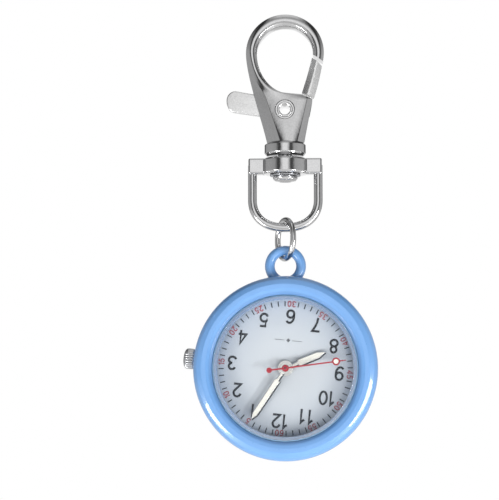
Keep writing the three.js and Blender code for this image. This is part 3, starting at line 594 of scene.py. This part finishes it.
post_outline = rounded([
    (0, -17.6, 0), (1.2, -17.6, 0.1), (1.2, -24.75, 0), (1.95, -24.75, 0.1), (2.05, -25.1, 0.2),
    (1.7, -25.5, 0.25), (1.05, -25.62, 0.1), (0.75, -25.45, 0.15), (0, -25.42, 0),
], 0.1, 4, closed=False)
piece("swivel_post_fine", lathe("swivel_post_fine", post_outline, "Z", 72), "chrome", "hook", "swivel_post")
washer_outline = rounded([(1.26, -24.7), (2.5, -24.7), (2.5, -24.45), (1.26, -24.45)], 0.07, 3)
piece("swivel_washer_fine", lathe("swivel_washer_fine", washer_outline, "Z", 72), "spring_steel", "hook",
      "swivel_washer")


# ------------------------------------------------------------------ D-ring and jump ring
def d_ring_mesh():
    leg_x, leg_end, bottom = 5.375, -28.6, -33.145
    side = [(leg_x, -22.9), (leg_x, -25.6)]
    curve_right = bezier((leg_x, leg_end), (leg_x, leg_end - 3), (3.2, bottom), (0, bottom), 28)
    right = side + curve_right
    path = right + [(-x, z) for x, z in reversed(right[:-1])]
    bow = tube("bow", [(x, 0, z) for x, z in path], 0.725, 28)
    bar = [(-6.0, -24.4), (6.0, -24.4), (6.0, -21.85), (-6.0, -21.85)]
    bar_mesh = flat("bar", [rounded(bar, 0.35, 4)], -1.25, 1.25, 0.28, 4)
    boss = rounded([
        (1.26, -24.4, 0.05), (3.5, -24.4, 0.1), (3.8, -24.1, 0.15), (3.8, -22.15, 0.15), (3.5, -21.85, 0.1),
        (1.26, -21.85, 0.05),
    ], 0.15, 4)
    return joined([bow, bar_mesh, lathe("boss", boss, "Z", 96)])


piece("d_ring_fine", d_ring_mesh(), "chrome", "swivel", "d_ring")

RING_Z = -35.05
RING_RADIUS = 3.175
RING_WIRE = 0.475
RING_YAW = math.radians(25)
CUT_ANGLE = 62.0
CUT_GAP = 1.6


def jump_ring_mesh():
    path = []
    steps = 110
    for k in range(steps + 1):
        angle = math.radians(CUT_ANGLE + CUT_GAP / 2 + (360 - CUT_GAP) * k / steps)
        across = RING_RADIUS * math.cos(angle)
        height = RING_Z + RING_RADIUS * math.sin(angle)
        path.append((across * math.sin(RING_YAW), -across * math.cos(RING_YAW), height))
    normal = Vector((math.cos(RING_YAW), math.sin(RING_YAW), 0))
    sections = []
    for i, here in enumerate(path):
        out = (Vector(here) - Vector((0, 0, RING_Z))).normalized()
        ring = []
        for k in range(24):
            a = 2 * math.pi * k / 24
            ring.append(tuple(Vector(here) + (out * math.cos(a) + normal * math.sin(a)) * RING_WIRE))
        sections.append(ring)
    return loft("jump_ring_fine", sections)


piece("jump_ring_fine", jump_ring_mesh(), "ring_wire", "link", "jump_ring")

# ------------------------------------------------------------------ case
def case_mesh():
    wall = rounded([
        (12.1, -3.72, 0.16), (12.75, -3.92, 0.5), (13.45, -3.95, 0.5), (14.25, -3.55, 0.7),
        (14.72, -2.8, 0.6),
        (CASE_RADIUS, -2.1, 0.5), (CASE_RADIUS, 2.0, 0.5), (14.7, 2.6, 0.4), (14.15, 3.17, 0.2),
        (13.15, 3.17, 0.03), (13.15, 2.9, 0.03), (12.72, 2.9, 0.03), (12.72, 3.17, 0.03),
        (12.55, 3.17, 0.03), (12.55, -0.78, 0.03), (11.0, -0.78, 0.05), (11.0, -2.45, 0.03),
        (11.72, -2.45, 0.03), (11.72, -3.44, 0.08),
    ], 0.3, 5)
    wall_mesh = lathe("case_wall", wall, "Y", 200, (0, 0, CASE_Z))
    loop_z = -39.44
    ring = []
    for k in range(40):
        a = 2 * math.pi * k / 40
        ring.append((1.74 + 0.8 * (1 + math.cos(a)), 1.05 * math.sin(a)))
    loop = lathe("case_loop", ring, "Y", 96, (0, 0, loop_z))
    keep_out = lathe("keep_out", [(0, -5), (13.6, -5), (13.6, 5), (0, 5)], "Y", 96, (0, 0, CASE_Z))
    loop = boolean(loop, [keep_out])
    body = boolean(wall_mesh, [loop], "UNION")
    hole = lathe("tube_hole", [(0, 11), (0.78, 11), (0.78, 16), (0, 16)], "Y", 32)
    hole.transform(STEM_FRAME)
    return boolean(body, [hole])


piece("case_body_fine", case_mesh(), "enamel", "watch", "case_body", smooth=40)

crystal_outline = rounded([
    (0, -4.30, 0), (4, -4.26, 1), (8, -4.11, 1), (10.95, -3.9, 0.05), (11.5, -3.56, 0.06),
    (11.5, -2.5, 0.03),
    (10.6, -2.5, 0.03), (10.6, -2.9, 0.05), (0, -2.9, 0),
], 0.1, 4, closed=False)
crystal_mesh = lathe("crystal_fine", crystal_outline, "Y", 160, (0, 0, CASE_Z))
piece("crystal_fine", crystal_mesh, "crystal", "watch", "crystal", smooth=20)

back_outline = rounded([
    (0, 2.95, 0), (11.75, 2.95, 0.03), (11.95, 3.05, 0.03), (12.49, 3.05, 0.03), (12.49, 3.2, 0.02),
    (13.4, 3.2, 0.05),
    (13.4, 3.5, 0.1), (13.1, 3.75, 0.12), (11.6, 3.75, 0.05), (11.5, 3.68, 0.04), (11.3, 3.68, 0.04),
    (11.2, 3.75, 0.05), (0, 3.75, 0),
], 0.05, 3, closed=False)


def back_mesh():
    """The snap-on back, with the thumbnail notch by which a blade lifts it off."""
    disc = lathe("case_back_fine", back_outline, "Y", 160, (0, 0, CASE_Z))
    notch = flat("notch", [[(-1.4, -14), (1.4, -14), (1.4, -13.1), (-1.4, -13.1)]], 3.17, 3.45)
    notch.transform(WATCH_FRAME)
    return boolean(disc, [notch])


piece("case_back_fine", back_mesh(), "back_steel", "watch", "case_back")


# ------------------------------------------------------------------ crown
def crown_mesh():
    """A knurled crown: rounded flutes round a domed body, laid along the stem line."""
    flutes = 24
    profile = [
        (14.97, 1.15, 0), (14.97, 1.50, 0.3), (15.15, 1.66, 1), (15.6, 1.68, 1), (16.05, 1.68, 1),
        (16.3, 1.60, 0.8),
        (16.48, 1.42, 0.4), (16.62, 1.15, 0), (16.72, 0.7, 0), (16.75, 0.0, 0),
    ]
    sides = flutes * 8

    def circle(height, radius, groove):
        ring = []
        for k in range(sides):
            a = 2 * math.pi * k / sides
            wave = 0.5 - 0.5 * math.cos(flutes * a)
            r = max(radius - 0.15 * groove * wave ** 2, 0.001)
            ring.append((r * math.cos(a), height, r * math.sin(a)))
        return ring

    socket = [(15.95, 0.001, 0), (15.95, 1.2, 0), (14.97, 1.2, 0)]
    return loft("crown_fine", [circle(*row) for row in socket + profile])


piece("crown_fine", crown_mesh(), "satin_steel", "winder", "crown", frame_matrix=STEM_FRAME)


# ------------------------------------------------------------------ dial and its print
DIAL_FRONT = -0.75
PRINT = 0.03
PRINT_LAYER = (DIAL_FRONT - PRINT, DIAL_FRONT - 0.003)


def dial_mesh():
    outline = rounded([(0.9, -0.75), (12.4, -0.75), (12.4, -0.35), (0.9, -0.35)], 0.04, 2)
    return lathe("dial_fine", outline, "Y", 128)


piece("dial_fine", dial_mesh(), "dial_white", "watch", "dial", frame_matrix=DIAL_FRAME)


def spot(radius, clockwise):
    """The point on the dial at that angle clockwise from 12."""
    a = math.radians(clockwise)
    return (radius * math.sin(a), radius * math.cos(a))


def oval(cx, cz, rx, rz, start, end, steps=18):
    """Points on an ellipse, in degrees from right towards the top."""
    spots = []
    for k in range(steps + 1):
        a = math.radians(start + (end - start) * k / steps)
        spots.append((cx + rx * math.cos(a), cz + rz * math.sin(a)))
    return spots


# Plain figures as strokes in a box 0.62 wide and 1 tall, with the strokes' middles 0.07 inside it.
FIGURES = {
    "0": [oval(0.31, 0.5, 0.24, 0.43, 90, 450, 30)],
    "1": [[(0.12, 0.72), (0.25, 0.80), (0.36, 0.95), (0.36, 0.0)]],
    "2": [oval(0.31, 0.68, 0.235, 0.25, 172, -32) + [(0.09, 0.07), (0.58, 0.07)]],
    "3": [oval(0.29, 0.715, 0.215, 0.215, 165, -90), oval(0.29, 0.285, 0.25, 0.215, 90, -165)],
    "4": [[(0.44, 0.0), (0.44, 0.93), (0.07, 0.28), (0.60, 0.28)]],
    "5": [[(0.53, 0.93), (0.16, 0.93), (0.10, 0.50)] + oval(0.29, 0.34, 0.25, 0.27, 140, -160)],
    "6": [oval(0.31, 0.32, 0.235, 0.25, 90, 450, 24),
          oval(0.36, 0.50, 0.285, 0.43, 45, 190, 14) + [(0.075, 0.32)]],
    "7": [[(0.05, 0.93), (0.56, 0.93), (0.38, 0.62), (0.27, 0.32), (0.22, 0.0)]],
    "8": [oval(0.31, 0.72, 0.195, 0.21, 90, 450, 24), oval(0.31, 0.28, 0.24, 0.225, 90, 450, 24)],
    "9": [oval(0.31, 0.68, 0.235, 0.25, 90, 450, 24),
          [(0.545, 0.68)] + oval(0.26, 0.50, 0.285, 0.43, 10, -135, 14)],
}


def ribbon(path, width):
    """The two edges of a flat stroke along a path, with mitred joints."""
    left, right = [], []
    ring = math.dist(path[0], path[-1]) < 1e-6
    last = len(path) - 1
    for i, here in enumerate(path):
        before = path[i - 1] if i else (path[last - 1] if ring else None)
        after = path[i + 1] if i < last else (path[1] if ring else None)
        arriving = Vector((here[0] - before[0], here[1] - before[1])).normalized() if before else None
        leaving = Vector((after[0] - here[0], after[1] - here[1])).normalized() if after else None
        first = arriving or leaving
        second = leaving or arriving
        middle = (first + second).normalized()
        reach = width / 2 / max(middle.dot(first), 0.45)
        side = Vector((-middle.y, middle.x)) * reach
        left.append((here[0] + side.x, here[1] + side.y))
        right.append((here[0] - side.x, here[1] - side.y))
    return left, right


def figure_mesh(text, height, stroke, place, clockwise, gap=0.14):
    """Figures as print, with their middle at place and turned clockwise."""
    widths = [0.40 if letter == "1" else 0.62 for letter in text]
    total = sum(widths) + gap * (len(text) - 1)
    turn = math.radians(clockwise)
    vertices, faces = [], []
    start = -total / 2
    for letter, width in zip(text, widths):
        for path in FIGURES[letter]:
            left, right = ribbon(path, stroke)
            base = len(vertices)
            for point in left + right:
                x = (start + point[0]) * height
                z = (point[1] - 0.5) * height
                vertices.append((place[0] + x * math.cos(turn) + z * math.sin(turn), DIAL_FRONT - PRINT,
                                 place[1] - x * math.sin(turn) + z * math.cos(turn)))
            count = len(left)
            for k in range(base, base + count - 1):
                faces.append((k, k + 1, count + k + 1, count + k))
        start += width + gap
    mesh = bpy.data.meshes.new("figure")
    mesh.from_pydata([tuple(MM * c for c in v) for v in vertices], [], faces)
    return mesh


def thicken(mesh):
    """Flat print gets its own thickness, down to the dial."""
    bm = bmesh.new()
    bm.from_mesh(mesh)
    made = bmesh.ops.extrude_face_region(bm, geom=bm.faces[:])
    moved = [g for g in made["geom"] if isinstance(g, bmesh.types.BMVert)]
    bmesh.ops.translate(bm, verts=moved, vec=(0, PRINT * MM * 0.9, 0))
    bmesh.ops.recalc_face_normals(bm, faces=bm.faces)
    bm.to_mesh(mesh)
    bm.free()
    return mesh


def hour_figures():
    meshes = []
    for hour in range(1, 13):
        radius = {12: 8.55, 6: 8.35, 3: 8.7, 9: 8.7, 10: 8.25}.get(hour, 8.55)
        meshes.append(figure_mesh(str(hour), 2.35, 0.155, spot(radius, hour * 30), 0, 0.16))
    return thicken(joined(meshes))


def minute_figures():
    meshes = []
    for minute in range(5, 65, 5):
        inward = 20 <= minute <= 40
        turn = minute * 6 + (180 if inward else 0)
        meshes.append(figure_mesh(str(minute), 0.98, 0.15, spot(10.4, minute * 6), turn))
    return thicken(joined(meshes))


def minute_ticks():
    meshes = []
    for minute in range(60):
        if minute % 5 == 0:
            continue
        tick = flat("tick", [[(-0.085, 10.0), (0.085, 10.0), (0.085, 10.82), (-0.085, 10.82)]],
                    *PRINT_LAYER)
        tick.transform(Matrix.Rotation(math.radians(minute * 6), 4, "Y"))
        meshes.append(tick)
    return joined(meshes)


def ornament():
    """A small lozenge between two thin rules, where a maker would print a word."""
    y = PRINT_LAYER
    lozenge = [(0, -4.15), (0.32, -4.5), (0, -4.85), (-0.32, -4.5)]
    rules = []
    for side in (-1, 1):
        ends = sorted((side * 0.62, side * 2.2))
        outline = [(ends[0], -4.54), (ends[1], -4.54), (ends[1], -4.46), (ends[0], -4.46)]
        rules.append(flat("rule", [outline], *y))
    return joined([flat("lozenge", [lozenge], *y), *rules])


for name, mesh, ink in (
    ("hour_figures", hour_figures(), "ink_black"),
    ("minute_figures", minute_figures(), "ink_red"),
    ("minute_ticks", minute_ticks(), "ink_black"),
    ("dial_ornament", ornament(), "ink_grey"),
):
    piece(name, mesh, ink, "watch", smooth=0, frame_matrix=DIAL_FRAME)


# ------------------------------------------------------------------ hands
def baton(length, width, neck, neck_end, step_end, tail, inset=0.0):
    """The outline of a baton hand that points to 12, drawn in by inset on every side."""
    half = width / 2 - inset
    thin = neck / 2 - inset
    shoulder = length - 1.3 * width
    return [
        (-thin, -tail), (thin, -tail), (thin, neck_end + inset), (half, step_end + inset),
        (half * 0.94, shoulder), (0, length - 2.4 * inset), (-half * 0.94, shoulder),
        (-half, step_end + inset),
        (-thin, neck_end + inset),
    ]


def hand_frame(name):
    return DIAL_FRAME @ Matrix.Rotation(math.radians(HAND_ANGLE[name]), 4, "Y")


def baton_hand(name, body, node, length, width, neck, hub, bore, y_front, y_back, painted_shade_shift):
    """A plate with a pale fill, and a dark strip along one side as painted shade on the hand's flank."""
    blade = (length, width, neck, 2.12, 2.3)
    place = hand_frame(name)
    outline = rounded(baton(*blade, hub), 0.05, 2)
    plate = flat(node, [outline], y_front, y_back, 0.07, 3)
    disc = [(bore, y_front - 0.02), (hub, y_front - 0.02), (hub, y_back), (bore, y_back)]
    hub_mesh = lathe("hub", rounded(disc, 0.04, 3), "Y", 64)
    whole = joined([plate, hub_mesh])
    piece(f"{node}_fine", whole, "hand_metal", body, node, frame_matrix=place)
    # Painted shade: a dark copy of the outline, shifted to one side behind the plate, stands in for the
    # hand's shaded flank.
    edge = [(x + painted_shade_shift, z) for x, z in baton(*blade, -hub)]
    painted_shade_mesh = flat(f"{node}_painted_shade_edge", [rounded(edge, 0.05, 2)], y_back - 0.01, y_back + 0.03)
    piece(f"{node}_painted_shade_edge", painted_shade_mesh, "hand_shade", body, frame_matrix=place)
    fill = rounded(baton(*blade, -hub, 0.14), 0.04, 2)
    fill_mesh = flat(f"{node}_fill", [fill], y_front - 0.05, y_front + 0.02, 0.02, 2)
    piece(f"{node}_fill", fill_mesh, "hand_cream", body, frame_matrix=place)


baton_hand("hour", "hours", "hour_hand", 7.1, 1.1, 0.52, 1.25, 0.72, -1.36, -1.2, 0.2)
baton_hand("minute", "minutes", "minute_hand", 10.0, 0.92, 0.44, 0.95, 0.42, -1.92, -1.76, -0.2)


def second_hand_mesh():
    y = (-2.46, -2.34)
    needle = flat("needle", [[(-0.13, -2.6), (0.13, -2.6), (0.115, 7.6), (-0.115, 7.6)]], *y, 0.02, 2)
    tip = flat("tip", [[(-0.11, 8.8), (0.11, 8.8), (0.06, 9.85), (-0.06, 9.85)]], *y, 0.015, 2)
    ring = rounded([(0.38, y[0]), (0.64, y[0]), (0.64, y[1]), (0.38, y[1])], 0.05, 3)
    eye = lathe("eye", ring, "Y", 48, (0, 0, 8.2))
    disc = [(0, y[0], 0), (0.45, y[0], 0.05), (0.45, y[1], 0.05), (0, y[1], 0)]
    weight = lathe("weight", rounded(disc, 0.05, 3, closed=False), "Y", 48, (0, 0, -2.6))
    hub = rounded([
        (0, -2.66, 0), (0.16, -2.66, 0.05), (0.2, -2.6, 0.03), (0.48, -2.62, 0.08), (0.55, -2.5, 0.08),
        (0.55, -2.2, 0.04), (0.13, -2.2, 0),
    ], 0.05, 3, closed=False)
    return joined([needle, tip, eye, weight, lathe("hub", hub + [(0.13, -2.4), (0, -2.4)], "Y", 48)])


second_frame = hand_frame("second")
piece("second_hand_fine", second_hand_mesh(), "hand_red", "seconds", "second_hand", frame_matrix=second_frame)
pin = rounded([(0, -2.72, 0), (0.15, -2.72, 0.06), (0.15, -2.62, 0), (0, -2.62, 0)], 0.04, 3, closed=False)
pin_mesh = lathe("hub_pin", pin, "Y", 32)
piece("hub_pin", pin_mesh, "hand_shade", "seconds", frame_matrix=second_frame)
eye_fill = lathe("eye_fill", [(0, -2.44), (0.38, -2.44), (0.38, -2.37), (0, -2.37)], "Y", 40, (0, 0, 8.2))
piece("eye_fill", eye_fill, "hand_cream", "seconds", frame_matrix=second_frame)

# ------------------------------------------------------------------ CAD nodes that stay
kept_looks = {
    "spring_steel": [
        "gate_spring", "stem", "clutch_wheel", "setting_lever", "yoke", "battery_clip", "cannon_pinion",
        "setting_wheel", "bridge_screw_1", "bridge_screw_2", "bridge_screw_3", "coil_screw_1", "coil_screw_2",
    ],
    "brass": [
        "stem_tube", "dial_washer", "battery_contact", "fifth_wheel", "seconds_wheel", "third_wheel",
        "centre_wheel", "hour_wheel",
    ],
    "black_plastic": ["main_plate", "train_bridge", "circuit_chip"],
    "gasket_nylon": ["crystal_gasket"],
    "nylon": ["movement_ring", "minute_wheel"],
    "rubber": ["back_gasket", "crown_gasket"],
    "magnet": ["rotor"],
    "soft_iron": ["stator", "coil_core"],
    "copper": ["coil_winding"],
    "board_green": ["circuit_board"],
    "satin_steel": ["quartz_can", "battery"],
}
for material, nodes in kept_looks.items():
    for node in nodes:
        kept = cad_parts[node]
        kept.data.materials.clear()
        kept.data.materials.append(look[material])


# ------------------------------------------------------------------ stage, light and camera
FLOOR_DROP = 0.15
FLOOR_HALF = 1.2


def floor_piece():
    mesh = bpy.data.meshes.new("floor")
    bm = bmesh.new()
    bmesh.ops.create_grid(bm, x_segments=8, y_segments=8, size=FLOOR_HALF)
    bmesh.ops.translate(bm, verts=bm.verts, vec=(0, 0, cad_box[0][2] - FLOOR_DROP))
    bm.to_mesh(mesh)
    bm.free()
    material = textured("floor_paint", (0.86, 0.86, 0.855), (0.84, 0.84, 0.835), 0.0, (0.7, 0.8), 60,
                        Emission_Color=(1, 1, 1, 1), Emission_Strength=0.35)
    mesh.materials.append(material)
    made = bpy.data.objects.new("floor", mesh)
    bpy.context.scene.collection.objects.link(made)


# How bright the mirrored room is, from its left to its right and from its floor to its ceiling.
ACROSS = [
    (0.0, 0.42), (0.12, 0.36), (0.20, 0.07), (0.28, 0.06), (0.34, 0.60), (0.43, 1.0), (0.60, 1.0),
    (0.68, 0.50), (0.73, 0.07), (0.82, 0.09), (0.88, 0.40), (1.0, 0.50),
]
UPWARDS = [
    (0.0, 0.06), (0.16, 0.10), (0.28, 0.55), (0.40, 1.0), (0.62, 1.0), (0.74, 0.65), (0.86, 0.35),
    (1.0, 0.75),
]


def studio_world():
    """A white room to the eye. What the metal mirrors is a studio: bright in front and above,
    greyer to both sides and below."""
    world = bpy.data.worlds.new("studio")
    world.use_nodes = True
    tree = world.node_tree
    tree.nodes.clear()
    coords = tree.nodes.new("ShaderNodeTexCoord")
    split = tree.nodes.new("ShaderNodeSeparateXYZ")
    tree.links.new(coords.outputs["Generated"], split.inputs["Vector"])
    shades = []
    for axis, stops in (("X", ACROSS), ("Z", UPWARDS)):
        unit = tree.nodes.new("ShaderNodeMapRange")
        unit.inputs["From Min"].default_value = -1
        tree.links.new(split.outputs[axis], unit.inputs["Value"])
        shades.append(ramp(tree, unit.outputs["Result"], [(p, (v, v, v)) for p, v in stops]))
    room = tree.nodes.new("ShaderNodeBackground")
    room.inputs["Strength"].default_value = 1.14
    tree.links.new(multiply(tree, *shades), room.inputs["Color"])
    white = tree.nodes.new("ShaderNodeBackground")
    white.inputs["Color"].default_value = (1, 1, 1, 1)
    white.inputs["Strength"].default_value = 1.0
    rays = tree.nodes.new("ShaderNodeLightPath")
    choose = tree.nodes.new("ShaderNodeMixShader")
    output = tree.nodes.new("ShaderNodeOutputWorld")
    tree.links.new(rays.outputs["Is Camera Ray"], choose.inputs["Fac"])
    tree.links.new(room.outputs["Background"], choose.inputs[1])
    tree.links.new(white.outputs["Background"], choose.inputs[2])
    tree.links.new(choose.outputs["Shader"], output.inputs["Surface"])
    bpy.context.scene.world = world


def softbox(name, direction, distance, size, power, roll=0.0, mirrored=True):
    light = bpy.data.lights.new(name, "AREA")
    light.shape = "RECTANGLE"
    light.size, light.size_y = size
    light.energy = power
    made = bpy.data.objects.new(name, light)
    aim = Vector((0, 0, CASE_Z * MM))
    made.location = aim + Vector(direction).normalized() * distance
    facing = (aim - made.location).to_track_quat("-Z", "Y").to_matrix()
    made.rotation_euler = (facing @ Matrix.Rotation(math.radians(roll), 3, "Z")).to_euler()
    made.visible_glossy = mirrored
    bpy.context.scene.collection.objects.link(made)


floor_piece()
studio_world()
softbox("key_low_right", (0.45, -0.85, -0.30), 0.40, (0.10, 0.10), 0.55, mirrored=False)
softbox("streak_left", (-0.594, -0.58, -0.535), 0.27, (0.05, 0.16), 0.5, 42)
softbox("streak_right", (0.725, -0.58, -0.338), 0.27, (0.035, 0.14), 0.36, -25)

# The watch and its hook, seen from slightly below and to the right.
LENS = 105.0
SENSOR = 36.0
VISIBLE_HEIGHT = 81.566
AZIMUTH, ELEVATION = math.radians(3), math.radians(-5)
AIM = Vector((-5.86 * MM, 0, -36.77 * MM))

camera_data = bpy.data.cameras.new("camera")
camera_data.lens = LENS
camera_data.sensor_width = SENSOR
camera_data.clip_start = 0.01
camera = bpy.data.objects.new("camera", camera_data)
distance = VISIBLE_HEIGHT * LENS / SENSOR * MM
direction = Vector((math.sin(AZIMUTH) * math.cos(ELEVATION), -math.cos(AZIMUTH) * math.cos(ELEVATION),
                    math.sin(ELEVATION)))
camera.location = AIM + direction * distance
camera.rotation_euler = (-direction).to_track_quat("-Z", "Y").to_euler()
bpy.context.scene.collection.objects.link(camera)
bpy.context.scene.camera = camera
bpy.context.scene.view_settings.view_transform = "Standard"
